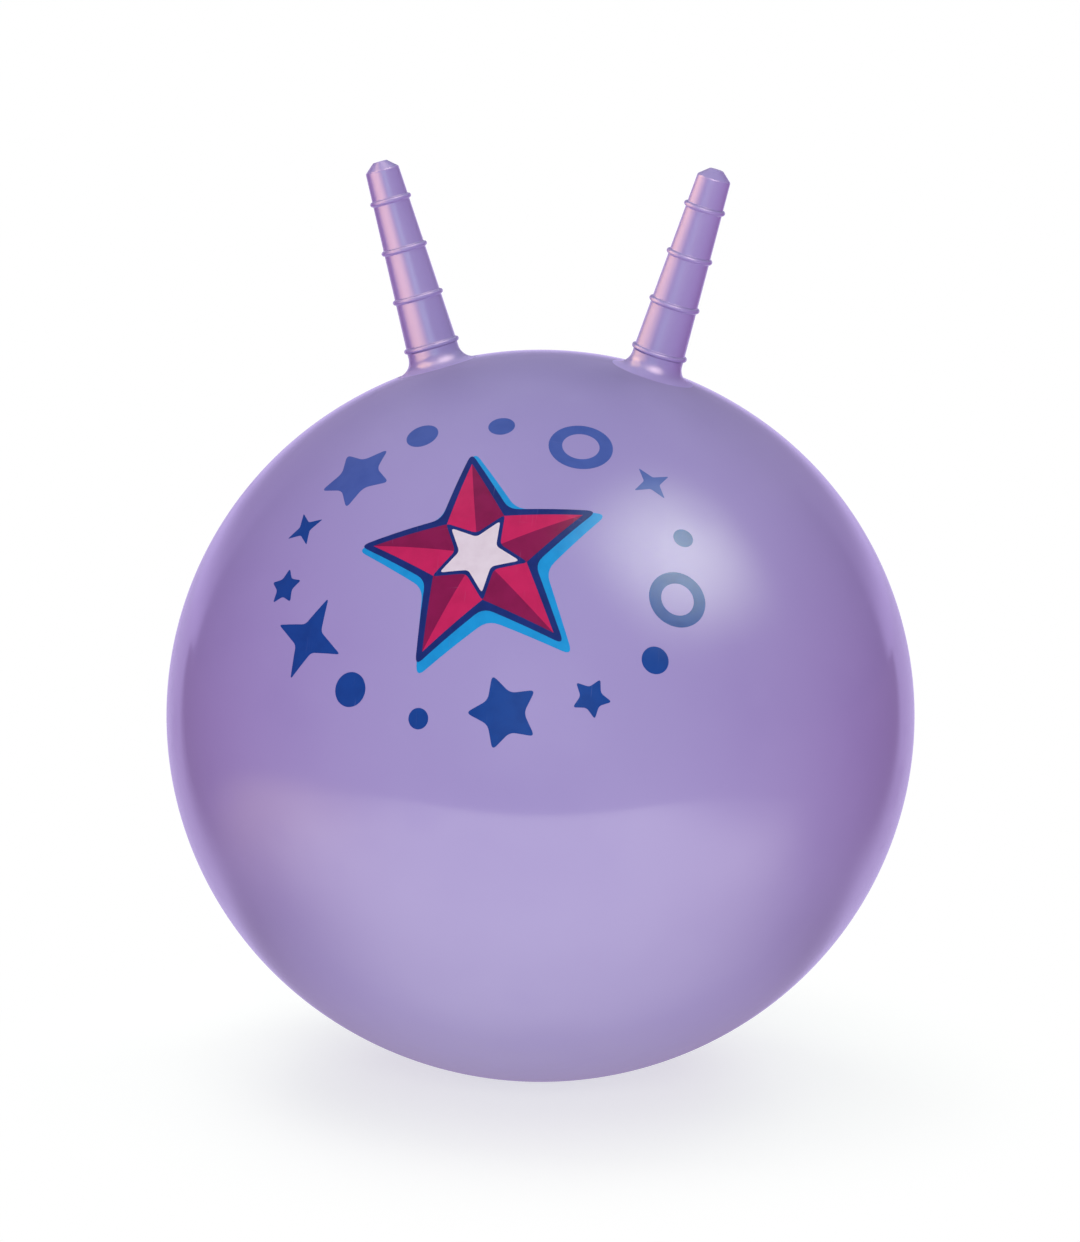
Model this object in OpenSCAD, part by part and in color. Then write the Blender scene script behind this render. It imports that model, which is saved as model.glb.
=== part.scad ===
// Hopper ball: a big blown-up vinyl ball with two hollow grip horns on top
// and a plugged air valve on the back.
// Millimetres, +Z up, printed side towards -Y, horns side by side along X.
// The origin is on the floor, in the middle of the flat patch that the ball rests on.

/* [Ball] */
// Widest diameter of the blown-up ball
ball_w = 450; // [380:5:650]
// How much less tall than wide the free ball is
ball_squash = 10; // [4:1:24]
// Diameter of the flat patch that the soft ball makes on the floor
patch_d = 60; // [30:1:80]
// Thickness of the vinyl skin
skin_wall = 1.2; // [0.8:0.1:2]

/* [Horns] */
// Lean of each horn from the vertical, in degrees
horn_lean = 16.5; // [12:0.5:24]
// Length of a horn from the ball's surface to its tip
horn_len = 125.5; // [100:0.5:180]
// Diameter of a horn at its lowest grip ring
horn_root_d = 30.6; // [26:0.2:36]
// Diameter of a horn at the shoulder below its tip
horn_top_d = 20.2; // [16:0.2:25]
// Thickness of a horn's wall
horn_wall = 2; // [1.4:0.1:3]
// Radius of the hollow curve where a horn grows out of the ball
flare_r = 9.5; // [6:0.1:10]
// Depth below the ball's surface of the point that a horn bends about
pivot_depth = 4; // [0:1:12]
// Clearance between the ball's neck and the horn that flexes on it
joint_gap = 0.3; // [0.2:0.05:0.5]

/* [Horn tip] */
// Height of the bevelled tip above the shoulder
tip_h = 5.2; // [3:0.1:8]
// Diameter of the flat end of the tip
tip_flat_d = 8.2; // [5:0.1:12]
// Radius of the round edge at the shoulder
shoulder_r = 1.6; // [0.5:0.1:2.5]
// Radius of the round edge around the flat end
tip_edge_r = 0.9; // [0.4:0.1:1.5]

/* [Grip rings] */
// Number of raised rings along a horn
ring_count = 4; // [2:1:6]
// Height of the lowest ring above the ball's surface
first_ring = 12.2; // [12:0.1:16]
// Distance from the shoulder down to the highest ring
top_ring_drop = 18.5; // [8:0.5:30]
// Thickness of the round bead that makes a ring
bead_d = 3; // [2:0.1:4]
// How far a bead stands out from the horn
bead_proud = 1.6; // [1:0.1:1.8]
// Plain height of horn left below the lowest ring
horn_skirt = 0.8; // [0.4:0.1:1.2]

/* [Valve seat] */
// Lean of the valve from the vertical towards the back, in degrees
valve_lean = 30; // [26:1:34]
// Diameter of the round hole in the skin that the seat fills
valve_hole_d = 24; // [22:0.5:30]
// Clearance of the seat in the skin
seat_gap = 0.15; // [0.1:0.05:0.3]
// Diameter of the flange that holds the seat against the inside of the skin
flange_d = 36; // [32:1:44]
// Thickness of that flange
flange_t = 2; // [1.2:0.1:3]
// Outer diameter of the tube that reaches into the ball
boss_d = 15; // [13:0.5:18]
// Depth of the seat from the ball's surface
seat_depth = 26; // [22:0.5:34]
// Diameter of the seat's bore
bore_d = 8.4; // [7.4:0.1:9.4]
// Diameter of the narrow end of the bore
lip_d = 6.6; // [6.2:0.1:7.2]
// Length of that narrow end
lip_len = 6; // [4:0.5:8]

/* [Valve plug] */
// Diameter of the plug's flat head
head_d = 16; // [14:0.5:18]
// Thickness of the head
head_t = 2.2; // [1.6:0.1:3]
// Clearance of the plug in its seat
plug_gap = 0.25; // [0.15:0.05:0.35]
// How far the plug's end reaches past the seat
tail_len = 2; // [1:0.5:4]
// Number of sealing ridges on the shank
ridge_count = 4; // [2:1:6]
// Depth of the grooves between the ridges
ridge_depth = 0.5; // [0.3:0.1:0.8]
// Diameter of the blind hole that makes the shank springy
core_d = 3; // [2:0.1:3.6]
// Thickness left between the blind hole and the top of the head
core_roof = 3.4; // [3:0.1:5]
// Diameter of the shallow dimple in the middle of the head
dimple_d = 4.4; // [3:0.1:6]
// Depth of that dimple
dimple_t = 0.5; // [0.3:0.1:0.8]
// Bevel at the lead-in end of the plug and around its head
plug_bevel = 0.6; // [0.3:0.1:0.8]

/* [Hidden] */
$fn = 160;

vinyl = [0.61, 0.57, 0.78];
vinyl_dark = [0.52, 0.46, 0.70];
plug_white = [0.93, 0.92, 0.94];

// Overrun of every cut past the face that it opens
over = 2;
// How deep the flare's curve dips under the ball, so the two meet in a clean line
flare_sink = 0.08;

// The ball's outline is a four-centred oval laid out on a 3-4-5 triangle:
// each cap's arc is centred past the middle, and each side's arc is centred off the axis.
leg = ball_squash / 4;
side_shift = 3 * leg;
cap_shift = 4 * leg;
cap_r = (ball_w - ball_squash) / 2 + cap_shift;
side_r = ball_w / 2 - side_shift;
// How far up a cap's radius its arc meets the side's arc, on that triangle
meet_share = 0.8;

// Heights of the ball's middle and of the upper cap's centre above the floor
ball_z = sqrt(pow(cap_r, 2) - pow(patch_d / 2, 2)) - cap_shift;
cap_z = ball_z - cap_shift;

// Heights along a horn's own axis, counted from the surface of the upper cap
shoulder_z = horn_len - tip_h;
top_ring = shoulder_z - top_ring_drop;
ring_pitch = (top_ring - first_ring) / (ring_count - 1);
horn_base = first_ring - bead_d / 2 - horn_skirt;

function horn_r(z) =
    (horn_root_d + (horn_top_d - horn_root_d) * (z - first_ring) / (shoulder_z - first_ring)) / 2;

// The neck on the ball, and the round split between it and the horn
neck_r = horn_r(horn_base);
flare_z = sqrt(pow(cap_r + flare_r, 2) - pow(neck_r + flare_r, 2)) - cap_r - flare_sink;
neck_root = 4 * skin_wall;
split_r = norm([neck_r, horn_base + pivot_depth]);
neck_top = split_r - pivot_depth;

// Heights along the valve's axis, counted down from the surface of the cap
flange_top = skin_wall + seat_gap;
recess_t = head_t + plug_gap;
lip_top = seat_depth - lip_len;
plug_end = seat_depth + tail_len;
shank_r = bore_d / 2 - plug_gap;
tail_r = lip_d / 2 - plug_gap;
ridge_pitch = (lip_top - recess_t - plug_gap) / (ridge_count + 1);

// A round corner as a few points: the corner, the outward directions
// of the two edges that meet there, in degrees, and the radius
function round_corner(corner, from_deg, to_deg, r, steps = 8) =
    let (
        n1 = [cos(from_deg), sin(from_deg)],
        n2 = [cos(to_deg), sin(to_deg)],
        centre = corner - r * (n1 + n2) / (1 + n1 * n2)
    )
    [for (i = [0 : steps])
        let (a = from_deg + (to_deg - from_deg) * i / steps)
        centre + r * [cos(a), sin(a)]];

// Moves its children from the origin onto the surface of the upper cap
module on_cap(tilt) {
    translate([0, 0, cap_z]) rotate(tilt) translate([0, 0, cap_r]) children();
}

// Half of the ball's upright section, moved inwards by inset and cut flat at the floor.
// Level lines through the points where the arcs meet split it into two caps and a side.
module ball_section(inset) {
    meet_z = meet_share * (cap_r - inset) - cap_shift;
    intersection() {
        translate([0, inset - ball_z]) square([ball_w, 2 * ball_w]);
        union() {
            intersection() {
                translate([0, -cap_shift]) circle(cap_r - inset);
                translate([0, meet_z]) square(ball_w);
            }
            intersection() {
                translate([0, cap_shift]) circle(cap_r - inset);
                translate([0, -meet_z - ball_w]) square(ball_w);
            }
            intersection() {
                translate([side_shift, 0]) circle(side_r - inset);
                translate([0, -meet_z]) square([ball_w, 2 * meet_z]);
            }
        }
    }
}

// The flared neck that a horn stands on, as a plain solid with a round top
module neck() {
    rotate_extrude() union() {
        difference() {
            translate([0, -neck_root]) square([neck_r + flare_r, neck_root + flare_z]);
            translate([neck_r + flare_r, flare_z]) circle(flare_r);
        }
        intersection() {
            translate([0, -neck_root]) square([neck_r, neck_root + neck_top]);
            translate([0, -pivot_depth]) circle(split_r - joint_gap);
        }
    }
}

// The air way through that neck, which keeps the skin's wall around the flare
module neck_bore() {
    rotate_extrude() union() {
        difference() {
            translate([0, -2 * neck_root]) square([neck_r + flare_r, 2 * neck_root + flare_z]);
            translate([neck_r + flare_r, flare_z]) circle(flare_r + skin_wall);
        }
        polygon([
            [0, -neck_root],
            [neck_r - skin_wall, -neck_root],
            [neck_r - skin_wall, flare_z],
            [neck_r - horn_wall, horn_base],
            [neck_r - horn_wall, neck_top + over],
            [0, neck_top + over]
        ]);
    }
}

// Hollow vinyl ball with a neck for each horn and a round hole for the valve
module ball_skin() {
    color(vinyl) difference() {
        union() {
            translate([0, 0, ball_z]) rotate_extrude() ball_section(0);
            for (side = [-1, 1]) on_cap([0, side * horn_lean, 0]) neck();
        }
        translate([0, 0, ball_z]) rotate_extrude() ball_section(skin_wall);
        for (side = [-1, 1]) on_cap([0, side * horn_lean, 0]) neck_bore();
        on_cap([-valve_lean, 0, 0])
            translate([0, 0, -neck_root]) cylinder(d = valve_hole_d, h = neck_root + over);
    }
}

// Hollow tapered grip with raised rings, a bevelled tip and an open lower end
module horn() {
    side_deg = atan2((horn_root_d - horn_top_d) / 2, shoulder_z - first_ring);
    bevel_deg = atan2((horn_top_d - tip_flat_d) / 2, tip_h);
    rotate_extrude() difference() {
        union() {
            polygon(concat(
                [[0, 0], [horn_r(0), 0]],
                round_corner([horn_top_d / 2, shoulder_z], side_deg, bevel_deg, shoulder_r),
                round_corner([tip_flat_d / 2, horn_len], bevel_deg, 90, tip_edge_r),
                [[0, horn_len]]
            ));
            for (i = [0 : ring_count - 1]) {
                z = first_ring + i * ring_pitch;
                translate([horn_r(z) + bead_proud - bead_d / 2, z]) circle(d = bead_d);
            }
        }
        polygon([
            [0, -over],
            [horn_r(-over) - horn_wall, -over],
            [horn_r(shoulder_z) - horn_wall, shoulder_z - horn_wall / 2],
            [(tip_flat_d - horn_wall) / 2, horn_len - horn_wall],
            [0, horn_len - horn_wall]
        ]);
        translate([0, -pivot_depth]) circle(split_r);
    }
}

module left_horn() {
    color(vinyl) on_cap([0, -horn_lean, 0]) horn();
}

module right_horn() {
    color(vinyl) on_cap([0, horn_lean, 0]) horn();
}

// Soft insert in the skin: a face flush with the ball, a flange inside and a bored tube
module valve_seat() {
    color(vinyl_dark) on_cap([-valve_lean, 0, 0]) rotate_extrude() difference() {
        union() {
            intersection() {
                translate([0, -flange_top - flange_t])
                    square([valve_hole_d / 2 - seat_gap, flange_top + flange_t]);
                translate([0, -cap_r]) circle(cap_r);
            }
            intersection() {
                translate([0, -flange_top - flange_t]) square([flange_d / 2, flange_t]);
                translate([0, -cap_r]) circle(cap_r - flange_top);
            }
            translate([0, -seat_depth]) square([boss_d / 2, seat_depth - flange_top]);
        }
        polygon([
            [0, over],
            [head_d / 2 + plug_gap, over],
            [head_d / 2 + plug_gap, -recess_t],
            [bore_d / 2, -recess_t],
            [bore_d / 2, -lip_top],
            [lip_d / 2, -lip_top - plug_bevel],
            [lip_d / 2, -seat_depth - over],
            [0, -seat_depth - over]
        ]);
    }
}

// Push-in plug: a head flush with the ball, a ridged shank and a hollow core
module valve_plug() {
    color(plug_white) on_cap([-valve_lean, 0, 0]) rotate_extrude() difference() {
        intersection() {
            polygon(concat(
                [[0, over], [head_d / 2, over], [head_d / 2, -head_t], [shank_r, -head_t]],
                [for (i = [1 : ridge_count])
                    let (z = head_t + i * ridge_pitch)
                    each [
                        [shank_r, -z + ridge_depth],
                        [shank_r - ridge_depth, -z],
                        [shank_r, -z - ridge_depth]
                    ]],
                [
                    [shank_r, -lip_top + plug_gap],
                    [tail_r, -lip_top - plug_bevel + plug_gap],
                    [tail_r, -plug_end + plug_bevel],
                    [tail_r - plug_bevel, -plug_end],
                    [0, -plug_end]
                ]
            ));
            translate([0, -cap_r]) circle(cap_r);
        }
        translate([0, -plug_end - over]) square([core_d / 2, plug_end - core_roof + over]);
        translate([0, -dimple_t]) square([dimple_d / 2, dimple_t + over]);
    }
}

ball_skin();
left_horn();
right_horn();
valve_seat();
valve_plug();
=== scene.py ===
# %% [markdown]
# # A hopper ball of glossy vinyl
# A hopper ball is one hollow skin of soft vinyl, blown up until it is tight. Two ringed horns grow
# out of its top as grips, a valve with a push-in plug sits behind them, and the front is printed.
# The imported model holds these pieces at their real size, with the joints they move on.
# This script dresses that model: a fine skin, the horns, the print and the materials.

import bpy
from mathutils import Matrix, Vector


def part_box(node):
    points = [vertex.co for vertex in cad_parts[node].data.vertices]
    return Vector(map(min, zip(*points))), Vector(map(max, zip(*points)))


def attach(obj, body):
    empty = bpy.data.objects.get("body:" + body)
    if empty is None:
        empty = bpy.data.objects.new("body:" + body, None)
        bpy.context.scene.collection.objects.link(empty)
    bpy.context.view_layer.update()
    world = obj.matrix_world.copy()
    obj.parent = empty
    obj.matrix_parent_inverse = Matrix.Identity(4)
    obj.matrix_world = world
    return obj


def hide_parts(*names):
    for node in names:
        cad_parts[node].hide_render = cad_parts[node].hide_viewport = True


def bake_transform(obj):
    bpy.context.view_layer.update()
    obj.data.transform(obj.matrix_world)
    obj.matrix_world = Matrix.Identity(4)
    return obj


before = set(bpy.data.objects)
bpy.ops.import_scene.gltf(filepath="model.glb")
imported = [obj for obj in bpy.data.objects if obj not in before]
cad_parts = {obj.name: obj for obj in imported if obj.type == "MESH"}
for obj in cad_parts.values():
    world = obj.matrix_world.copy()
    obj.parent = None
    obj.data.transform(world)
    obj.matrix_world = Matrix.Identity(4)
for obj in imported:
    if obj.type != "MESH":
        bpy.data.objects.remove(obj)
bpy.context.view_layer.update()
print("nodes:", sorted(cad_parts))

# %% Bring in the tools
import math

import bmesh
import bpy
import numpy as np
from mathutils import Matrix, Vector

scene = bpy.context.scene
scene.view_settings.view_transform = "Standard"
MM = 0.001
print("one millimetre is", MM, "of Blender's metres")

# %% [markdown]
# ## The ball's outline
# A blown-up ball is never a true sphere: it is a little wider than it is tall. A scaled sphere
# would do, but then the horns would stand on a surface with no simple centre. So the outline is an
# oval of arcs: a cap above and below, and a rounder side between them. Their centres are the
# corners of a triangle with legs of 3 and 4 and a long side of 5, so all the sums stay simple.
# Every point and every normal on the oval is exact, and the skin and the print share them.

# %% Sizes of the ball, in metres
ball_low, ball_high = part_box("ball_skin")
BALL_W = round(ball_high[0] - ball_low[0], 4)
BALL_SQUASH = 10 * MM
FLOOR_PATCH_R = 30 * MM
SKIN_WALL = 1.2 * MM

LEG = BALL_SQUASH / 4
SIDE_SHIFT = 3 * LEG
CAP_SHIFT = 4 * LEG
CAP_R = (BALL_W - BALL_SQUASH) / 2 + CAP_SHIFT
SIDE_R = BALL_W / 2 - SIDE_SHIFT
BALL_Z = math.sqrt(CAP_R**2 - FLOOR_PATCH_R**2) - CAP_SHIFT
CAP_Z = BALL_Z - CAP_SHIFT
MIDDLE = np.array((0, 0, BALL_Z))
ARCS_MEET = (0.6 * CAP_R, 0.8 * CAP_R - CAP_SHIFT)
print(f"ball {BALL_W:.3f} wide, its middle {BALL_Z:.4f} above the floor")


# %% Find a point on the ball
def on_ball(ways, inset=0.0):
    """Points of the oval in these directions from its middle, and its normals there."""
    ways = np.asarray(ways, float)
    ways = ways / np.linalg.norm(ways, axis=-1, keepdims=True)
    across = np.maximum(np.hypot(ways[..., 0], ways[..., 1]), 1e-9)
    up = ways[..., 2]
    cap = np.abs(up) * ARCS_MEET[0] > across * ARCS_MEET[1]
    centre_across = np.where(cap, 0, SIDE_SHIFT)
    centre_up = np.where(cap, -np.sign(up) * CAP_SHIFT, 0)
    radius = np.where(cap, CAP_R, SIDE_R) - inset
    along = across * centre_across + up * centre_up
    reach = along + np.sqrt(along**2 - centre_across**2 - centre_up**2 + radius**2)
    out = (reach * across - centre_across) / radius
    rise = (reach * up - centre_up) / radius
    normals = np.stack((ways[..., 0] / across * out, ways[..., 1] / across * out, rise), axis=-1)
    return ways * reach[..., None] + MIDDLE, normals


print("top of the ball at", on_ball([(0, 0, 1)])[0][0].round(4))

# %% [markdown]
# ## The camera
# The camera comes first, because everything after it is judged through it. The ball fills most of
# the picture and shows little perspective, so the lens is long and stands well back. It is turned
# a little round the ball's right side, and looks down on it a little.

# %% A helper that puts an object in the scene
def put_in_scene(name, data):
    made = bpy.data.objects.new(name, data)
    scene.collection.objects.link(made)
    return made


# %% Place the camera
PICTURE_W, PICTURE_H = 1080, 1242
BALL_AT = (540.5, 715)
SENSOR = 36
LENS = 134.5
CAMERA_AWAY = 2.8
CAMERA_TURN = math.radians(9.4)
CAMERA_RISE = math.radians(11.0)
CAMERA_ROLL = math.radians(0.7)

to_camera = Vector((
    math.sin(CAMERA_TURN) * math.cos(CAMERA_RISE),
    -math.cos(CAMERA_TURN) * math.cos(CAMERA_RISE),
    math.sin(CAMERA_RISE),
))
pixels_to_lens = PICTURE_H / SENSOR * LENS
pitch = math.atan((BALL_AT[1] - PICTURE_H / 2) / pixels_to_lens)
yaw = math.atan((BALL_AT[0] - PICTURE_W / 2) / pixels_to_lens)
aim = to_camera.to_track_quat("Z", "Y").to_matrix()
aim = aim @ Matrix.Rotation(CAMERA_ROLL, 3, "Z")
aim = aim @ Matrix.Rotation(pitch, 3, "X") @ Matrix.Rotation(yaw, 3, "Y")

camera = put_in_scene("camera", bpy.data.cameras.new("camera"))
camera.data.lens = LENS
camera.data.sensor_width = SENSOR
camera.matrix_world = Matrix.Translation(Vector(MIDDLE) + to_camera * CAMERA_AWAY) @ aim.to_4x4()
scene.camera = camera
print("camera at", [round(x, 3) for x in camera.location])

# %% [markdown]
# ## Small helpers for shader nodes
# A material is a tree of nodes. Written out in full, each node takes four or five lines, so a few
# helpers keep the trees readable. The first adds a node and connects it. The next ones do sums,
# turn a range of values into a soft mask, mix two colours and draw noise. The last two show one
# shader to the camera and others to other rays, and read a colour from its code.


# %% Add a node, and do sums with nodes
def add(tree, kind, inputs=None, **settings):
    """A node of this kind, with each input set to a value or linked to a socket."""
    node = tree.nodes.new(kind)
    for name, value in settings.items():
        setattr(node, name, value)
    for name, value in (inputs or {}).items():
        if isinstance(value, bpy.types.NodeSocket):
            tree.links.new(value, node.inputs[name])
        else:
            node.inputs[name].default_value = value
    return node


def work_out(tree, operation, *values):
    """The result of one Math node."""
    return add(tree, "ShaderNodeMath", dict(enumerate(values)), operation=operation).outputs[0]


def times(tree, first, *others):
    """The product of these values."""
    for other in others:
        first = work_out(tree, "MULTIPLY", first, other)
    return first


# %% Make masks, mixes and noise
def fade(tree, value, start, stop, low=0.0, high=1.0):
    """A value that goes softly from low to high between start and stop."""
    inputs = {"Value": value, "From Min": start, "From Max": stop, "To Min": low, "To Max": high}
    return add(tree, "ShaderNodeMapRange", inputs, interpolation_type="SMOOTHSTEP").outputs[0]


def mix_colour(tree, share, first, second, kind="MIX"):
    """Two colours mixed by a share from 0 to 1."""
    inputs = {0: share, 6: first, 7: second}
    return add(tree, "ShaderNodeMix", inputs, data_type="RGBA", blend_type=kind).outputs[2]


def noise(tree, place, size, detail=2.0, roughness=0.5):
    """Noise whose blotches are about this many metres across."""
    scale = 1 / size if isinstance(size, float) else work_out(tree, "DIVIDE", 1.0, size)
    inputs = {"Vector": place, "Scale": scale, "Detail": detail, "Roughness": roughness}
    return add(tree, "ShaderNodeTexNoise", inputs).outputs["Fac"]


# %% Choose a shader by ray, and read a colour
def by_ray(tree, seen, mirrored, other):
    """One shader for the camera, one for mirrored rays and one for all other light."""
    rays = add(tree, "ShaderNodeLightPath").outputs
    for kind, shader in (("Is Glossy Ray", mirrored), ("Is Camera Ray", seen)):
        other = add(tree, "ShaderNodeMixShader", {
            0: rays[kind], 1: other.outputs[0], 2: shader.outputs[0],
        })
    return other.outputs[0]


def paint(code):
    """A colour as Blender wants it, from the code that a picture editor shows."""
    shares = [int(code[i : i + 2], 16) / 255 for i in (0, 2, 4)]
    return (*[x / 12.92 if x <= 0.04045 else ((x + 0.055) / 1.055) ** 2.4 for x in shares], 1.0)


print("mid grey is", round(paint("808080")[0], 3), "in linear light")

# %% [markdown]
# ## The studio
# The ball stands in an empty white studio. A white floor that is lit until it looks white would
# also flood the ball with light, so the white is given to camera rays alone: they see white far
# away, and the lit floor with its shadow near the ball. Mirrored rays see a sheet of white paper
# in front of the ball and a fan of light behind it. The first draws the pale lower half that shows
# in glossy vinyl, and the second draws its pale rim. A weak warm glimmer lies on the left of the
# paper. Seen from behind, the ball's edge would mirror the paper as a hard white line, because
# every gloss is strongest at a grazing angle. So the paper sends its light up steeply, like a lamp
# with a grid, and stays dim for rays that only skim it.

# %% Sizes of the studio
FLOOR_W = 18.0
PAPER_FRONT = 0.81
PAPER_HALF_W = 0.80
# The paper fades out from 32 cm to 6 cm in front of the ball's middle: a painted shadow of the ball
# on it.
PAPER_PAINTED_SHADOW = (-0.06, -0.32)
PAPER_EDGE = (1.06, 0.94)
PAPER_DEPTHS, PAPER_DEPTH_LEVELS = (-0.35, -0.72), (0.82, 1.0)
PAPER_SIDES, PAPER_SIDE_LEVELS = (0.74, 0.34), (0.25, 1.0)
PAPER_STEEP, PAPER_STEEP_LEVELS = (0.19, 0.255), (0.2, 1.0)
STEEP_MARGIN = 0.08
GLIMMER_AT, GLIMMER_R = (-0.70, -0.24, 0), (0.50, 0.05)
FAN_HALF_W, FAN_SPREAD = 0.29, 0.75
FAN_SIDES = (FAN_HALF_W * 1.4, FAN_HALF_W * 0.7)
FAN_START = (0.0, 0.16)
BOUNCE_SIDES = (0.28, 0.65)
FOOT_GLOW_R = (0.30, 0.15)
SHADOW_R = (0.08, 0.36)
SHADOW_SHARE = 0.5
FLOOR_GAIN = (1.25, 1.38, 1.12, 1)
PAPER_COLOUR = (2.05, 1.95, 1.84, 1)
FAN_COLOUR = (0.59, 0.49, 0.84, 1)
FOOT_COLOUR = (0.34, 0.27, 0.46, 1)
GLIMMER_COLOUR = (1.0, 0.8, 0.40, 1)
DARK_COLOUR = (0.12, 0.09, 0.13, 1)
BOUNCE = (0.81, 0.77, 0.84, 1)
SIDE_BOUNCE = (0.60, 0.10, 0.58, 1)


# %% The floor as the camera sees it
def new_material(name):
    """An empty material and its tree."""
    material = bpy.data.materials.new(name)
    material.use_nodes = True
    material.node_tree.nodes.clear()
    return material, material.node_tree


def seen_floor(tree, away):
    """What the camera sees: white far away, and the lit floor with its shadow near the ball."""
    lit = add(tree, "ShaderNodeBsdfDiffuse", {"Color": FLOOR_GAIN})
    white = add(tree, "ShaderNodeEmission", {"Color": (1, 1, 1, 1)})
    near = fade(tree, away, *SHADOW_R, SHADOW_SHARE, 0.0)
    return add(tree, "ShaderNodeMixShader", {0: near, 1: white.outputs[0], 2: lit.outputs[0]})


# %% The floor as the vinyl mirrors it
def mirrored_floor(tree, place, away, across, behind):
    """What the glossy vinyl mirrors: the paper, the glimmer and the fan on a dark floor."""
    reach = work_out(tree, "ADD",
                     work_out(tree, "POWER", work_out(tree, "DIVIDE", across, PAPER_HALF_W), 4),
                     work_out(tree, "POWER", work_out(tree, "DIVIDE", behind, PAPER_FRONT), 4))
    skimmed = add(tree, "ShaderNodeLayerWeight", {"Blend": 0.5}).outputs["Facing"]
    steep = times(tree, work_out(tree, "SUBTRACT", 1.0, skimmed),
                  work_out(tree, "ADD", away, STEEP_MARGIN))
    steep = fade(tree, steep, *PAPER_STEEP, *PAPER_STEEP_LEVELS)
    # Near the ball the paper fades out, as a painted shadow of the ball on it.
    paper = times(tree, fade(tree, reach, *PAPER_EDGE), fade(tree, behind, *PAPER_PAINTED_SHADOW),
                  fade(tree, across, *PAPER_SIDES, *PAPER_SIDE_LEVELS),
                  fade(tree, behind, *PAPER_DEPTHS, *PAPER_DEPTH_LEVELS), steep)
    off_glimmer = add(tree, "ShaderNodeVectorMath", {0: place, 1: GLIMMER_AT},
                      operation="DISTANCE").outputs["Value"]
    glimmer = times(tree, fade(tree, off_glimmer, *GLIMMER_R), steep)
    off_fan = work_out(tree, "SUBTRACT", across, times(tree, behind, FAN_SPREAD))
    fan = times(tree, fade(tree, off_fan, *FAN_SIDES), fade(tree, behind, *FAN_START))
    glow = mix_colour(tree, fade(tree, away, *FOOT_GLOW_R), DARK_COLOUR, FOOT_COLOUR)
    glow = mix_colour(tree, fan, glow, FAN_COLOUR)
    glow = mix_colour(tree, paper, glow, PAPER_COLOUR)
    glow = mix_colour(tree, glimmer, glow, GLIMMER_COLOUR, "ADD")
    return add(tree, "ShaderNodeEmission", {"Color": glow})


# %% Make the floor's material
def floor_material():
    material, tree = new_material("floor")
    place = add(tree, "ShaderNodeTexCoord").outputs["Object"]
    spot = add(tree, "ShaderNodeSeparateXYZ", {0: place}).outputs
    away = add(tree, "ShaderNodeVectorMath", {0: place}, operation="LENGTH").outputs["Value"]
    across = work_out(tree, "ABSOLUTE", spot["X"])
    seen = seen_floor(tree, away)
    mirrored = mirrored_floor(tree, place, away, across, spot["Y"])
    aside = fade(tree, across, *BOUNCE_SIDES)
    bounce = add(tree, "ShaderNodeEmission", {
        "Color": mix_colour(tree, aside, BOUNCE, SIDE_BOUNCE),
    })
    add(tree, "ShaderNodeOutputMaterial", {"Surface": by_ray(tree, seen, mirrored, bounce)})
    return material


# %% Lay the floor
def flat_sheet(name, width, height):
    x, y = width / 2, height / 2
    mesh = bpy.data.meshes.new(name)
    mesh.from_pydata([(-x, -y, 0), (x, -y, 0), (x, y, 0), (-x, y, 0)], [], [(0, 1, 2, 3)])
    return put_in_scene(name, mesh)


floor = flat_sheet("floor", FLOOR_W, FLOOR_W)
floor.rotation_euler.z = CAMERA_TURN
floor.data.materials.append(floor_material())
print("floor", FLOOR_W, "metres across")

# %% [markdown]
# ## The light
# One big soft lamp stands by the camera, so the middle of the ball is lit full on and its sides
# turn darker and deeper in colour. Two weaker lamps behind the ball and one high on its left keep
# the rest readable. The soft square in the vinyl, high on the right, is the mirror image of a
# softbox. It is a glowing panel that only mirrored rays see, because a real one that bright would
# also wash out the shading. The panel glows and is clear at once, so it hides nothing behind it.

# %% Sizes and strengths of the lights
KEY_W, KEY_AWAY, KEY_POWER = 1.3, 2.6, 23.0
KEY_RISE = math.radians(14)
BACK_TURNS = (math.radians(148), math.radians(-148))
BACK_W, BACK_AWAY, BACK_POWER = 1.2, 2.6, 12.0
BACK_RISE = math.radians(40)
TOP_W, TOP_AWAY, TOP_POWER = 1.2, 2.4, 11.0
TOP_WAY = (math.radians(-90), math.radians(72))
TOP_COLOUR = (1.0, 0.88, 1.0)
AMBIENT = (0.41, 0.46, 0.52, 1)
SIDE_AMBIENT = (0.53, 0.12, 0.52, 1)
AMBIENT_SIDES = (0.58, 0.97)
SURROUND = (0.06, 0.055, 0.07, 1)
WALL_COLOUR = (0.66, 0.54, 0.96, 1)
WALL_START = (0.70, 0.78)
WALL_FOOT, WALL_HAZE = (0.19, 0.0, 0.0, 0.62), (0.62, 0.12, 0.0, 0.38)
SOFTBOX_WAY = (0.558, 0.706, 0.448)
SOFTBOX_AWAY, SOFTBOX_W = 1.7, 1.90
SOFTBOX_GLOW = 5.6
SOFTBOX_COLOUR = (0.90, 1.0, 0.74, 1)


# %% Set up the lamps
def way_to(turn, rise):
    """The direction from the ball that is turned this far from the front, and raised."""
    flat = math.cos(rise)
    return Vector((math.sin(turn) * flat, -math.cos(turn) * flat, math.sin(rise)))


def facing(centre, way, away):
    """The place of something that stands this far from a point and faces it."""
    turned = way.to_track_quat("Z", "Y").to_matrix().to_4x4()
    return Matrix.Translation(Vector(centre) + way * away) @ turned


def lamp(name, way, away, width, power, colour=(1, 1, 1)):
    data = bpy.data.lights.new(name, "AREA")
    data.shape = "SQUARE"
    data.size = width
    data.energy = power
    data.color = colour
    made = put_in_scene(name, data)
    made.matrix_world = facing(MIDDLE, way, away)
    made.visible_glossy = False


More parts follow.
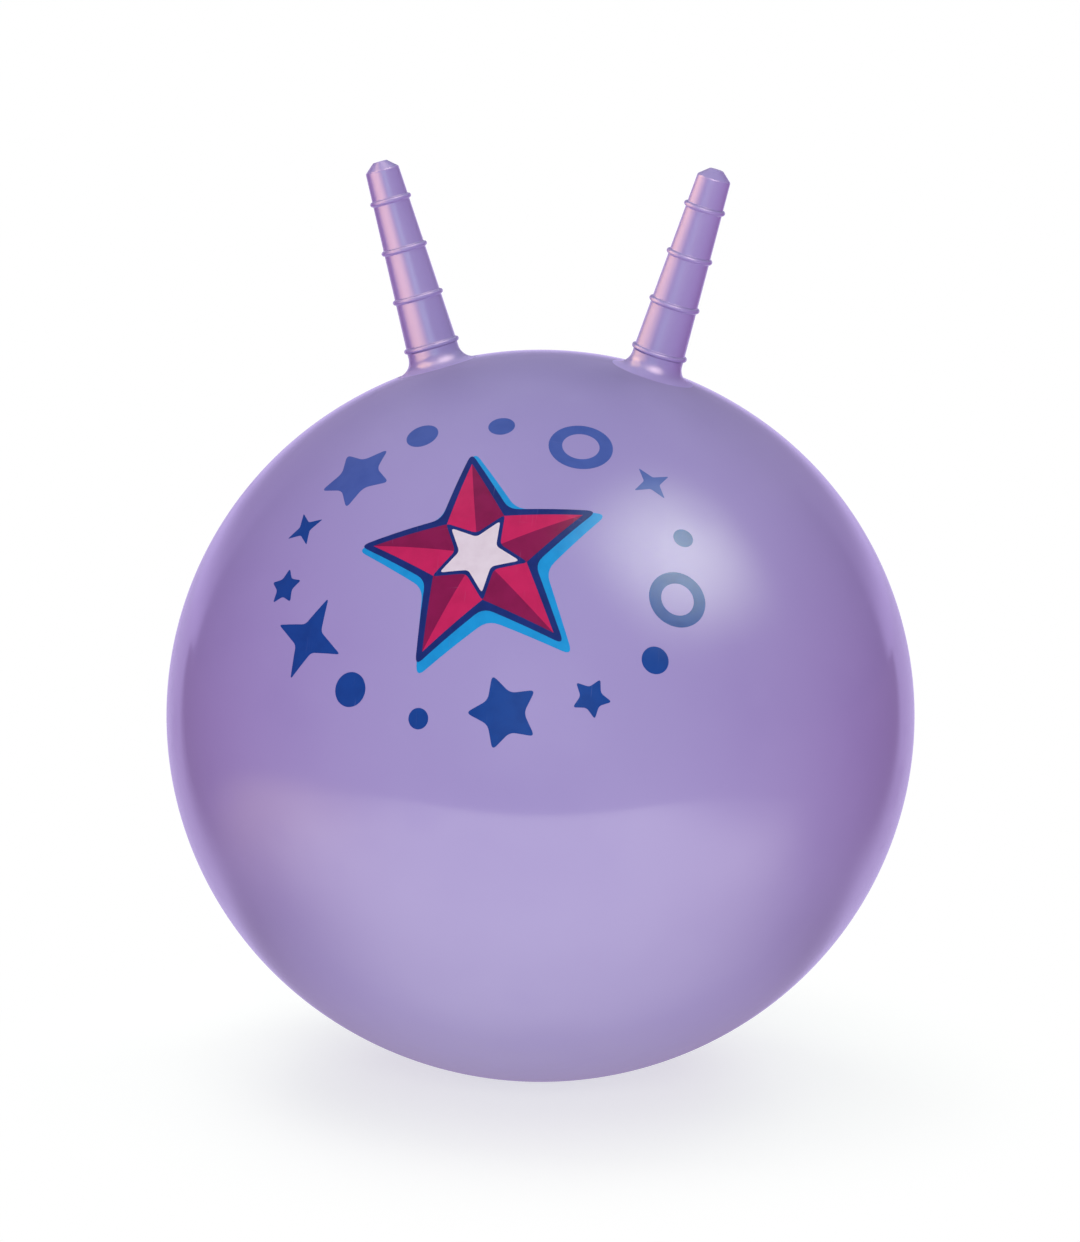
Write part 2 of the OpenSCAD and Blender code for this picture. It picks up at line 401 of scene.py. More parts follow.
lamp("key_lamp", way_to(CAMERA_TURN, KEY_RISE), KEY_AWAY, KEY_W, KEY_POWER)
for i, turn in enumerate(BACK_TURNS):
    lamp(f"back_lamp_{i + 1}", way_to(turn, BACK_RISE), BACK_AWAY, BACK_W, BACK_POWER)
lamp("top_lamp", way_to(*TOP_WAY), TOP_AWAY, TOP_W, TOP_POWER, TOP_COLOUR)


# %% Hang the softbox that only shows in the vinyl
def panel_material(name, size, core, colour, strength):
    """Light that is full within these shares of the panel and fades out towards its edges."""
    material, tree = new_material(name)
    place = add(tree, "ShaderNodeTexCoord").outputs["Object"]
    spot = add(tree, "ShaderNodeSeparateXYZ", {0: place}).outputs
    edges = []
    for axis, side, share in zip("XY", size, core):
        out = work_out(tree, "ABSOLUTE", spot[axis])
        edges.append(fade(tree, out, side * 0.5, side * 0.5 * share))
    level = times(tree, *edges, strength)
    glow = add(tree, "ShaderNodeEmission", {"Color": colour, "Strength": level})
    clear = add(tree, "ShaderNodeBsdfTransparent")
    both = add(tree, "ShaderNodeAddShader", {0: glow.outputs[0], 1: clear.outputs[0]})
    add(tree, "ShaderNodeOutputMaterial", {"Surface": both.outputs[0]})
    return material


def mirrored_panel(name, centre, way, away, size, core, colour, strength):
    """A glowing panel that faces a point, hides nothing and only shows in mirror images."""
    panel = flat_sheet(name, *size)
    panel.data.materials.append(panel_material(name, size, core, colour, strength))
    panel.matrix_world = facing(centre, way, away)
    panel.visible_camera = False
    panel.visible_diffuse = False
    panel.visible_shadow = False
    panel.visible_transmission = False
    print(name, "at", [round(x, 2) for x in panel.matrix_world.translation])
    return panel


camera_turn = to_camera.to_track_quat("Z", "Y")
softbox = mirrored_panel("softbox", MIDDLE, camera_turn @ Vector(SOFTBOX_WAY).normalized(),
                         SOFTBOX_AWAY, (SOFTBOX_W, SOFTBOX_W), (0.0, 0.0), SOFTBOX_COLOUR,
                         SOFTBOX_GLOW)


# %% Fill the world with faint light
def studio_world():
    """White for the camera, faint light that turns violet at the sides, and a dim room."""
    world = bpy.data.worlds.new("studio")
    world.use_nodes = True
    tree = world.node_tree
    tree.nodes.clear()
    way = add(tree, "ShaderNodeTexCoord").outputs["Generated"]
    turned = add(tree, "ShaderNodeVectorRotate", {"Vector": way, "Angle": -CAMERA_TURN},
                 rotation_type="Z_AXIS").outputs[0]
    spot = add(tree, "ShaderNodeSeparateXYZ", {0: turned}).outputs
    behind = fade(tree, spot["Y"], *WALL_START)
    low = work_out(tree, "ADD", fade(tree, spot["Z"], *WALL_FOOT),
                   fade(tree, spot["Z"], *WALL_HAZE))
    wall = times(tree, behind, low)
    room = mix_colour(tree, wall, SURROUND, WALL_COLOUR)
    aside = fade(tree, work_out(tree, "ABSOLUTE", spot["X"]), *AMBIENT_SIDES)
    ambient = add(tree, "ShaderNodeBackground", {
        "Color": mix_colour(tree, aside, AMBIENT, SIDE_AMBIENT),
    })
    mirrored = add(tree, "ShaderNodeBackground", {"Color": room})
    white = add(tree, "ShaderNodeBackground", {"Color": (1, 1, 1, 1)})
    add(tree, "ShaderNodeOutputWorld", {"Surface": by_ray(tree, white, mirrored, ambient)})
    return world


scene.world = studio_world()
print("world:", scene.world.name)

# %% [markdown]
# ## Shader groups
# All the vinyl pieces share a few effects, so each effect is a node group with its own inputs.
# Vinyl that was cast in a mould has a faint waviness, like orange peel. Play leaves soft rubbed
# patches and fine scratches, which change how shiny it is more than its colour.


# %% A helper for node groups
def new_group(name, takes, gives):
    """A node group that takes a place and some numbers: its tree, what it takes and gives."""
    tree = bpy.data.node_groups.new(name, "ShaderNodeTree")
    tree.interface.new_socket(name="Place", in_out="INPUT", socket_type="NodeSocketVector")
    for label, start in takes.items():
        tree.interface.new_socket(name=label, in_out="INPUT",
                                  socket_type="NodeSocketFloat").default_value = start
    for label in gives:
        tree.interface.new_socket(name=label, in_out="OUTPUT", socket_type="NodeSocketFloat")
    return tree, add(tree, "NodeGroupInput").outputs, add(tree, "NodeGroupOutput").inputs


# %% The faint waviness of cast vinyl
TIMES_FINER = 4.5


def orange_peel_group():
    tree, takes, gives = new_group("orange_peel", {"Size": 3 * MM, "Fineness": 0.35}, ["Height"])
    waves = noise(tree, takes["Place"], takes["Size"], 1.0, 0.4)
    fine = noise(tree, takes["Place"], work_out(tree, "DIVIDE", takes["Size"], TIMES_FINER))
    height = work_out(tree, "ADD", waves, times(tree, fine, takes["Fineness"]))
    tree.links.new(height, gives["Height"])
    return tree


# %% The marks that play leaves
RUB_SIZE, RUB_LEVELS = 55 * MM, (0.50, 0.78)
SCRATCH_STRETCHES, SCRATCH_LEVELS = ((900, 40, 60), (55, 700, 45)), (0.70, 0.80)
SCRATCH_BY_RUB = (0.0, 0.5, 0.15, 1.0)


def play_marks_group():
    tree, takes, gives = new_group("play_marks", {"Amount": 1.0}, ["Rub", "Scratch"])
    place = takes["Place"]
    rub = fade(tree, noise(tree, place, RUB_SIZE, 5.0, 0.62), *RUB_LEVELS)
    scratches = []
    for stretch in SCRATCH_STRETCHES:
        drawn = add(tree, "ShaderNodeVectorMath", {0: place, 1: stretch}, operation="MULTIPLY")
        scratches.append(fade(tree, noise(tree, drawn.outputs[0], 1.0, 1.0), *SCRATCH_LEVELS))
    scratch = work_out(tree, "MAXIMUM", *scratches)
    scratch = times(tree, scratch, fade(tree, rub, *SCRATCH_BY_RUB))
    for label, value in (("Rub", rub), ("Scratch", scratch)):
        tree.links.new(times(tree, value, takes["Amount"]), gives[label])
    return tree


ORANGE_PEEL = orange_peel_group()
PLAY_MARKS = play_marks_group()
print("groups:", [g.name for g in bpy.data.node_groups])

# %% [markdown]
# ## Glossy vinyl
# The skin is soft vinyl, coloured right through: a satin body under a clear glossy surface.
# The Principled shader's coat gives that second, sharper reflection. Over it go cloudy pigment,
# the orange peel, rubbed patches, a little dust low down where the ball rolls, and the fine
# ridge that the two halves of the mould leave, in the plane of the horns. Print on vinyl lies under
# the same gloss, so the first and the last step of the material are helpers that the inks share.
# A piece may bring a mask named foot, where it has no gloss. The horns have one at their roots.

# %% Colours and finish of the vinyl
VINYL = paint("aaa2cf")
VINYL_DEEP = paint("a69dcc")
DUST = paint("b7b0b8")
BODY_ROUGHNESS, RUBBED_ROUGHER = 0.34, 0.16
BODY_SHINE = 0.25
COAT_ROUGHNESS, RUBBED_COAT = 0.10, 0.8
CLOUD_SIZE, CLOUD_LEVELS = 120 * MM, (0.35, 0.70)
DUST_TOP, DUST_FULL = 95 * MM, 8 * MM
DUST_SIZE, DUST_SHARE, DUST_ROUGHER = 14 * MM, 0.28, 0.25
SEAM_HALF_W, SEAM_H = 0.6 * MM, 0.05 * MM
PEEL_SIZE, PEEL_DEPTH = 3.2 * MM, 0.010 * MM
SCRATCH_DEPTH = 0.006 * MM


# %% Helpers for vinyl and ink
def grouped(tree, group, inputs):
    """What a node group gives out for these values."""
    return add(tree, "ShaderNodeGroup", inputs, node_tree=group).outputs


def start_glossy(name):
    """A new material with the place, the marks and the orange peel that gloss needs."""
    material, tree = new_material(name)
    place = add(tree, "ShaderNodeAttribute", attribute_name="rest_place").outputs["Vector"]
    marks = grouped(tree, PLAY_MARKS, {"Place": place, "Amount": 1.0})
    peel = grouped(tree, ORANGE_PEEL, {"Place": place, "Size": PEEL_SIZE, "Fineness": 0.3})
    rubbed = times(tree, marks["Rub"], RUBBED_ROUGHER)
    rough = work_out(tree, "ADD", BODY_ROUGHNESS, rubbed)
    height = times(tree, peel["Height"], PEEL_DEPTH)
    return material, tree, place, marks, rough, height


def finish_glossy(tree, marks, colour, rough, height, dull=0.0):
    """The satin body under a clear gloss that is weaker where rubbed, and gone where dull."""
    bump = add(tree, "ShaderNodeBump", {"Strength": 1.0, "Distance": 1.0, "Height": height})
    coat = times(tree, work_out(tree, "SUBTRACT", 1.0, dull),
                 fade(tree, marks["Rub"], 0.0, 1.0, 1.0, RUBBED_COAT))
    shader = add(tree, "ShaderNodeBsdfPrincipled", {
        "Base Color": colour, "Roughness": work_out(tree, "MAXIMUM", rough, dull), "IOR": 1.5,
        "Specular IOR Level": BODY_SHINE, "Coat Weight": coat,
        "Coat Roughness": COAT_ROUGHNESS, "Coat IOR": 1.5, "Normal": bump.outputs[0],
    })
    add(tree, "ShaderNodeOutputMaterial", {"Surface": shader.outputs[0]})


# %% Make the vinyl
def vinyl_material():
    material, tree, place, marks, rough, height = start_glossy("vinyl")
    spot = add(tree, "ShaderNodeSeparateXYZ", {0: place}).outputs
    cloud = fade(tree, noise(tree, place, CLOUD_SIZE, 3.0), *CLOUD_LEVELS)
    colour = mix_colour(tree, cloud, VINYL, VINYL_DEEP)
    low = fade(tree, spot["Z"], DUST_TOP, DUST_FULL)
    dusty = times(tree, low, noise(tree, place, DUST_SIZE, 6.0, 0.6))
    colour = mix_colour(tree, times(tree, dusty, DUST_SHARE), colour, DUST)
    rough = work_out(tree, "ADD", rough, times(tree, dusty, DUST_ROUGHER))

    off_seam = work_out(tree, "ABSOLUTE", spot["Y"])
    seam = fade(tree, off_seam, SEAM_HALF_W, SEAM_HALF_W * 0.3)
    height = work_out(tree, "ADD", height, times(tree, seam, SEAM_H))
    scratch = times(tree, marks["Scratch"], -SCRATCH_DEPTH)
    height = work_out(tree, "ADD", height, scratch)

    foot = add(tree, "ShaderNodeAttribute", attribute_name="foot").outputs["Fac"]
    finish_glossy(tree, marks, colour, rough, height, dull=foot)
    return material


VINYL_SKIN = vinyl_material()
print("vinyl has", len(VINYL_SKIN.node_tree.nodes), "nodes")

# %% [markdown]
# ## The skin of the ball
# The skin is a hollow shell with three holes: one for each horn's root and one for the valve.
# A subdivided cube would show its corners in the reflections, and a globe of meridians its poles,
# so the shell starts as a ball of even triangles. The outside, the inside and the cutters are
# closed solids, and booleans make the shell from them. Then every corner gets its exact normal,
# so that the reflections run over the triangles as if they weren't there.

# %% Sizes of the horns' roots and the valve
HORN_LEAN = math.radians(16.5)
VALVE_LEAN = math.radians(30)
ROOT_R = 25 * MM
ROOT_CORNERS = 128
VALVE_HOLE_R = 12 * MM
VALVE_CORNERS = 96
DRILL_DEPTH = 40 * MM


def on_cap(axis, lean):
    """The frame of something that stands on the ball's cap, leaning about this axis."""
    leaned = Matrix.Rotation(lean, 4, axis)
    return Matrix.Translation((0, 0, CAP_Z)) @ leaned @ Matrix.Translation((0, 0, CAP_R))


HORN_FRAMES = {"left": on_cap("Y", -HORN_LEAN), "right": on_cap("Y", HORN_LEAN)}
VALVE_FRAME = on_cap("X", -VALVE_LEAN)
print("horns stand", round(2 * HORN_FRAMES["right"].translation.x, 3), "apart")


# %% Make the solids that the shell is cut from
def link(name, bm):
    mesh = bpy.data.meshes.new(name)
    bm.to_mesh(mesh)
    bm.free()
    return put_in_scene(name, mesh)


def oval_solid(name, level, inset):
    """The ball as a closed solid of small triangles, cut flat at the floor."""
    bm = bmesh.new()
    bmesh.ops.create_icosphere(bm, subdivisions=level, radius=1)
    spots, _ = on_ball([v.co for v in bm.verts], inset)
    for vertex, spot in zip(bm.verts, spots):
        vertex.co = spot
    everything = bm.verts[:] + bm.edges[:] + bm.faces[:]
    cut = bmesh.ops.bisect_plane(bm, geom=everything, plane_co=(0, 0, inset),
                                 plane_no=(0, 0, 1), clear_inner=True)
    rim = [e for e in cut["geom_cut"] if isinstance(e, bmesh.types.BMEdge)]
    bmesh.ops.contextual_create(bm, geom=rim)
    bmesh.ops.recalc_face_normals(bm, faces=bm.faces[:])
    return link(name, bm)


# %% Drill and carve
def drill(name, place, radius, corners):
    """A cylinder through the skin, round the Z axis of this frame."""
    bm = bmesh.new()
    bmesh.ops.create_cone(bm, cap_ends=True, segments=corners, radius1=radius, radius2=radius,
                          depth=DRILL_DEPTH, matrix=place)
    return link(name, bm)


def carve(body, tools):
    """Cuts each tool out of the body, and deletes the tools."""
    for tool in tools:
        cut = body.modifiers.new("cut", "BOOLEAN")
        cut.operation = "DIFFERENCE"
        cut.solver = "EXACT"
        cut.object = tool
    carved = body.evaluated_get(bpy.context.evaluated_depsgraph_get())
    done = bpy.data.meshes.new_from_object(carved)
    body.modifiers.clear()
    body.data = done
    for tool in tools:
        bpy.data.objects.remove(tool)


# %% Cut the shell
ball_shell = oval_solid("ball_shell", 7, 0.0)
tools = [oval_solid("inside", 6, SKIN_WALL)]
tools += [drill(f"{side}_root", place, ROOT_R, ROOT_CORNERS) for side, place in HORN_FRAMES.items()]
tools.append(drill("valve_hole", VALVE_FRAME, VALVE_HOLE_R, VALVE_CORNERS))
carve(ball_shell, tools)
print("shell has", len(ball_shell.data.polygons), "faces")


# %% Remember where each point is at rest
def remember_place(obj):
    """Stores where each vertex is at rest, so that patterns stay put when the piece bends."""
    mesh = obj.data
    places = np.empty(3 * len(mesh.vertices), np.float32)
    mesh.vertices.foreach_get("co", places)
    stored = mesh.attributes.new("rest_place", "FLOAT_VECTOR", "POINT")
    stored.data.foreach_set("vector", places)


def read(items, name, width, kind=float):
    values = np.empty(len(items) * width, kind)
    items.foreach_get(name, values)
    return values.reshape(-1, width) if width > 1 else values


# %% Give the shell its exact normals
ALONG_SKIN = 0.9


def dress_shell(obj):
    """Exact normals on the skin, and flat ones on the walls of the holes and on the floor."""
    mesh = obj.data
    places = read(mesh.vertices, "co", 3)
    corners = read(mesh.loops, "vertex_index", 1, np.int32)
    face_normals = read(mesh.polygons, "normal", 3)
    face_sizes = read(mesh.polygons, "loop_total", 1, np.int32)
    centres = read(mesh.polygons, "center", 3)
    _, away = on_ball(centres - MIDDLE)
    turned_out = (face_normals * away).sum(axis=1)
    turned_out[centres[:, 2] < 1.5 * SKIN_WALL] = 0
    turned_out = np.repeat(turned_out, face_sizes)[:, None]
    _, exact = on_ball(places[corners] - MIDDLE)
    flat = np.repeat(face_normals, face_sizes, axis=0)
    inside = np.where(turned_out < -ALONG_SKIN, -exact, flat)
    normals = np.where(turned_out > ALONG_SKIN, exact, inside)
    mesh.shade_smooth()
    mesh.normals_split_custom_set(normals.tolist())


dress_shell(ball_shell)
remember_place(ball_shell)
ball_shell.data.materials.clear()
ball_shell.data.materials.append(VINYL_SKIN)
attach(ball_shell, "ball")
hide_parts("ball_skin")
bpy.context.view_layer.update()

# %% [markdown]
# ## The horns
# Each horn is moulded in one with the ball: a hollow tapered finger with four thin rings, a soft
# shoulder and a short bevelled tip, and a flare where it grows out of the skin. It is a turned
# shape, so a profile of arcs and lines is spun round the horn's axis. Each point of the profile
# carries its own normal, so arcs and lines meet without a crease. The spun shape starts
# at the edge of the hole in the shell.
# The horns get lights of their own below, which the skin beside them doesn't get. To hide where
# that changes, a horn loses its gloss at its foot, and the skin doesn't mirror the horns.

# %% Sizes of a horn, in metres, with heights above the ball along the horn's axis
HORN_LEN = 125.5 * MM
TIP_H = 5.2 * MM
TIP_FLAT_R = 4.1 * MM
SHOULDER_R = 1.6 * MM
TIP_EDGE_R = 0.9 * MM
ROOT_RING_R = 15.3 * MM
TOP_R = 10.1 * MM
FIRST_RING = 12.2 * MM
TOP_RING_DROP = 18.5 * MM
RING_COUNT = 4
BEAD_R = 1.5 * MM
BEAD_PROUD = 1.6 * MM
BEAD_FILLET = 0.6 * MM
FLARE_R = 9.5 * MM
HORN_WALL = 2 * MM
HORN_BASE = 9.9 * MM
FOOT_H = 3.0 * MM
LONGEST_GAP = 3 * MM

SHOULDER = HORN_LEN - TIP_H
TAPER = math.degrees(math.atan2(ROOT_RING_R - TOP_R, SHOULDER - FIRST_RING))
RING_HEIGHTS = np.linspace(FIRST_RING, SHOULDER - TOP_RING_DROP, RING_COUNT)


def horn_r(height):
    return ROOT_RING_R + (TOP_R - ROOT_RING_R) * (height - FIRST_RING) / (SHOULDER - FIRST_RING)


NECK_R = horn_r(HORN_BASE)
print("rings at", (RING_HEIGHTS / MM).round(1), "mm, taper", round(TAPER, 2), "degrees")


# %% Draw profiles from arcs
def arc(centre, radius, start, stop, hollow=False, step=6):
    """Rows of radius, height and normal along an arc, with its angles in degrees."""
    count = max(2, math.ceil(abs(stop - start) / step) + 1)
    turns = np.radians(np.linspace(start, stop, count))
    ways = np.column_stack((np.cos(turns), np.sin(turns)))
    return np.hstack((np.asarray(centre) + radius * ways, -ways if hollow else ways))


def round_corner(corner, from_deg, to_deg, radius):
    """The arc that rounds a corner between two edges that face these ways."""
    first, second = [np.array((math.cos(math.radians(a)), math.sin(math.radians(a))))
                     for a in (from_deg, to_deg)]
    centre = np.asarray(corner) - radius * (first + second) / (1 + first @ second)
    return arc(centre, radius, from_deg, to_deg)


# %% Draw one ring
def bead(height):
    """A round ring with a small fillet on either side, laid on the horn's slanted side."""
    middle = BEAD_PROUD - BEAD_R
    fillet_up = math.sqrt((BEAD_R + BEAD_FILLET) ** 2 - (BEAD_FILLET - middle) ** 2)
    meet = math.degrees(math.atan2(fillet_up, BEAD_FILLET - middle))
    rows = np.vstack((
        arc((BEAD_FILLET, -fillet_up), BEAD_FILLET, 180, 180 - meet, hollow=True, step=15),
        arc((middle, 0), BEAD_R, -meet, meet, step=12),
        arc((BEAD_FILLET, fillet_up), BEAD_FILLET, 180 + meet, 180, hollow=True, step=15),
    ))
    lean = math.radians(TAPER)
    turn = np.array(((math.cos(lean), math.sin(lean)), (-math.sin(lean), math.cos(lean))))
    return np.hstack((rows[:, :2] @ turn + (horn_r(height), height), rows[:, 2:] @ turn))


def filled(rows, longest):
    """The same rows with more in the gaps that are longer than this."""
    out = [rows[0]]
    for row in rows[1:]:
        count = math.ceil(np.linalg.norm(row[:2] - out[-1][:2]) / longest)
        start = out[-1]
        out += [start + (row - start) * i / count for i in range(1, count)] + [row]
    return np.array(out)


# %% Draw the horn's outside and inside
def cap_arc(radius, from_r, to_r):
    """The ball's own surface round the root, between two distances from the horn's axis."""
    ends = [math.degrees(math.acos(r / radius)) for r in (from_r, to_r)]
    return arc((0, -CAP_R), radius, *ends, step=0.5)


def horn_profile():
    flare_centre = (NECK_R + FLARE_R,
                    math.sqrt((CAP_R + FLARE_R) ** 2 - (NECK_R + FLARE_R) ** 2) - CAP_R)
    foot_share = flare_centre[0] / (CAP_R + FLARE_R)
    lean_in = math.degrees(math.asin(foot_share))
    bevel = math.degrees(math.atan2(TOP_R - TIP_FLAT_R, TIP_H))
    outside = np.vstack([
        cap_arc(CAP_R, ROOT_R, CAP_R * foot_share),
        arc(flare_centre, FLARE_R, 270 - lean_in, 180, hollow=True),
        *[bead(height) for height in RING_HEIGHTS],
        round_corner((TOP_R, SHOULDER), TAPER, bevel, SHOULDER_R),
        round_corner((TIP_FLAT_R, HORN_LEN), bevel, 90, TIP_EDGE_R),
        [(0, HORN_LEN, 0, 1)],
    ])
    inner_r = CAP_R - SKIN_WALL
    inside = np.vstack([
        [(0, HORN_LEN - HORN_WALL, 0, 0), (TIP_FLAT_R - HORN_WALL / 2, HORN_LEN - HORN_WALL, 0, 0),
         (horn_r(SHOULDER) - HORN_WALL, SHOULDER - HORN_WALL / 2, 0, 0),
         (NECK_R - HORN_WALL, HORN_BASE, 0, 0)],
        arc(flare_centre, FLARE_R + SKIN_WALL, 180, 270 - lean_in),
        cap_arc(inner_r, inner_r * foot_share, ROOT_R),
    ])
    inside[:, 2:] = 0
    return filled(outside, LONGEST_GAP), filled(inside, LONGEST_GAP)


OUTSIDE, INSIDE = horn_profile()
print("profile:", len(OUTSIDE), "points outside,", len(INSIDE), "inside")


# %% Spin a profile into a solid
def spun(name, runs, place, corners):
    """A closed solid of revolution from an outer and an inner run that meet in a flat rim."""
    points, normals, faces, corner_normals = [], [], [], []
    rings = []
    turns = [(math.cos(2 * math.pi * i / corners), math.sin(2 * math.pi * i / corners))
             for i in range(corners)]
    for run in runs:
        rings.append([])
        for radius, height, out, up in run:
            spokes = turns if radius > 1e-7 else turns[:1]
            rings[-1].append([len(points) + i for i in range(len(spokes))])
            points += [(radius * c, radius * s, height) for c, s in spokes]
            normals += [(out * c, out * s, up) for c, s in spokes]

    def between(first, second, flat=None):
        for i in range(corners):
            j = (i + 1) % corners
            loop = [first[i % len(first)], first[j % len(first)],
                    second[j % len(second)], second[i % len(second)]]
            loop = list(dict.fromkeys(loop))
            faces.append(loop)
            corner_normals.extend([flat[i]] * len(loop) if flat else [normals[v] for v in loop])

    for run in rings:
        for first, second in zip(run, run[1:]):
            between(first, second)
    outward = [(c, s, 0) for c, s in turns]
    between(rings[1][-1], rings[0][0], outward)

    mesh = bpy.data.meshes.new(name)
    mesh.from_pydata(points, [], faces)
    mesh.transform(place)
    mesh.shade_smooth()
    turned = np.array(corner_normals) @ np.array(place.to_3x3()).T
    mesh.normals_split_custom_set(turned.tolist())
    return put_in_scene(name, mesh)


# %% Make both horns
def mark_foot(obj):
    """Stores how near each vertex is to the ball's skin, from 1 on it down to 0."""
    off_cap = read(obj.data.vertices, "co", 3) - (0, 0, CAP_Z)
    share = np.clip((np.linalg.norm(off_cap, axis=1) - CAP_R) / FOOT_H, 0, 1)
    stored = obj.data.attributes.new("foot", "FLOAT", "POINT")
    stored.data.foreach_set("value", (1 - share * share * (3 - 2 * share)).astype(np.float32))


horns = []
for side, place in HORN_FRAMES.items():
    horn = spun(f"{side}_horn_skin", (OUTSIDE, INSIDE), place, ROOT_CORNERS)
    remember_place(horn)
    mark_foot(horn)
    horn.data.materials.append(VINYL_SKIN)
    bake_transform(horn)
    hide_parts(f"{side}_horn")
    horn.visible_glossy = False
    horns.append(horn)
    print(horn.name, "has", len(horn.data.polygons), "faces")

# %% [markdown]
# ### Light for the horns
# A thin glossy rod shows each lamp as a stripe along its whole length. The horns carry a broad
# pink stripe on the left with a cool one beside it, and where they flare out the pink runs on
# beside a soft pale blob. A faint panel above picks out the edges of the rings. On the ball these
# panels would leave big marks, so each shines on one horn alone, by light linking. The softbox is
# kept off the horns in the same way.

# %% Sizes of the horns' panels
PANEL_AWAY = 1.1
PINK, COOL, PALE = (1, 0.60, 0.32, 1), (0.5, 1, 1, 1), (1, 0.76, 0.68, 1)
PANELS = {
    "stripe": ((2.8, 1.6), (0.0, 0.6), PINK, 7.8),
    "cool": ((1.0, 1.0), (0.0, 0.6), COOL, 1.8),
    "flare": ((1.3, 1.3), (0.3, 0.3), PINK, 6.5),
    "blob": ((1.7, 1.7), (0.0, 0.0), PALE, 8.0),
    "edge": ((3.0, 1.4), (0.2, 0.2), PALE, 1.2),
}
PANEL_WAYS = {
    "left": {"stripe": (-52, -18, 0.95), "cool": (6, 2, 0.7), "flare": (-80, 42, 1.0),
             "blob": (45, 75, 1.0), "edge": (-10, 50, 1.0)},
    "right": {"stripe": (-92, 5, 0.66), "cool": (-22, 0, 0.4), "flare": (-100, 45, 0.7),
              "blob": (18, 42, 1.0), "edge": (0, 50, 1.0)},
}


# %% Hang the panels and link them
def light_only(panel, pieces, state="INCLUDE"):
    """Lets a panel shine on these pieces alone, or on all the others."""
    linked = bpy.data.collections.new(f"{panel.name}_pieces")
    for piece in pieces:
        linked.objects.link(piece)
    for entry in linked.collection_objects:
        entry.light_linking.link_state = state
    panel.light_linking.receiver_collection = linked


for (side, place), horn in zip(HORN_FRAMES.items(), horns):
    for name, (turn, rise, share) in PANEL_WAYS[side].items():
        way = way_to(CAMERA_TURN + math.radians(turn), math.radians(rise))
        size, core, colour, glow = PANELS[name]
        panel = mirrored_panel(f"{side}_{name}", place.translation, way, PANEL_AWAY, size, core,
                               colour, glow * share)
        light_only(panel, [horn])
light_only(softbox, horns, "EXCLUDE")

# %% [markdown]
# ## The valve
# The seat is a softer, duller vinyl insert, and the plug is white plastic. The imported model
# already has their true shape, turned and ridged, so both nodes stay and only get their materials.
# Small parts like these show fine rubbed marks, a slightly cloudy colour and a finer orange peel
# than the skin, because they come out of smaller and smoother moulds.

# %% Materials of the valve
SMALL_PEEL_SIZE, SMALL_PEEL_DEPTH = 1.1 * MM, 0.4 * PEEL_DEPTH
SMALL_CLOUD_SIZE, SMALL_RUBBED_ROUGHER = 7 * MM, 0.2


def small_part_material(name, colour, deep, rough, coat):
    material, tree = new_material(name)
    place = add(tree, "ShaderNodeTexCoord").outputs["Object"]
    marks = grouped(tree, PLAY_MARKS, {"Place": place, "Amount": 0.8})
    peel = grouped(tree, ORANGE_PEEL, {"Place": place, "Size": SMALL_PEEL_SIZE, "Fineness": 0.4})
    cloud = fade(tree, noise(tree, place, SMALL_CLOUD_SIZE, 4.0), 0.4, 0.7)
    rubbed = times(tree, marks["Rub"], SMALL_RUBBED_ROUGHER)
    height = times(tree, peel["Height"], SMALL_PEEL_DEPTH)
    bump = add(tree, "ShaderNodeBump", {"Strength": 1.0, "Distance": 1.0, "Height": height})
    shader = add(tree, "ShaderNodeBsdfPrincipled", {
        "Base Color": mix_colour(tree, cloud, colour, deep),
        "Roughness": work_out(tree, "ADD", rough, rubbed),
        "Coat Weight": coat, "Coat Roughness": 0.2, "Normal": bump.outputs[0],
    })
    add(tree, "ShaderNodeOutputMaterial", {"Surface": shader.outputs[0]})
    return material


def finish_node(node, material):
    """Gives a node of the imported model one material."""
    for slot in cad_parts[node].material_slots:
        slot.material = material
    print(node, "wears", material.name)


finish_node("valve_seat", small_part_material(
    "valve_vinyl", paint("8a7ab8"), paint("7d6dab"), 0.42, 0.4))
finish_node("valve_plug", small_part_material(
    "plug_plastic", paint("e6e4ea"), paint("d6d3dc"), 0.38, 0.2))

# %% [markdown]
# ## The print
# Print on a hopper ball goes on ink by ink, each a very thin film. Painting it by nodes would need
# a long tree for every outline. Here each ink is its own thin closed mesh, laid on the ball
# by wrapping flat outlines round it, and later inks lie a hair higher than earlier ones.
# The design is a big faceted star, with small stars, sparks, rings and dots flying round it.

# %% Place and layers of the print, in millimetres on the ball's surface
PRINT_RISE = math.radians(35.5)
INK_STEP = 0.04
INK_FIRST = 0.07
INK_UNDER = 0.05
LONGEST_EDGE = 5.0

print_way = way_to(0, PRINT_RISE)
print_right = Vector((1, 0, 0))
print_up = print_way.cross(print_right)
WRAP_R = (CAP_R + SIDE_R) / 2 / MM


def wrapped(flat):
    """Directions from the ball's middle of points drawn flat, in millimetres."""
    flat = np.asarray(flat, float)
    away = np.maximum(np.hypot(flat[:, 0], flat[:, 1]), 1e-9)
    bend = away / WRAP_R
    aside = flat[:, :1] * np.array(print_right) + flat[:, 1:2] * np.array(print_up)
    return np.cos(bend)[:, None] * np.array(print_way) + (np.sin(bend) / away)[:, None] * aside


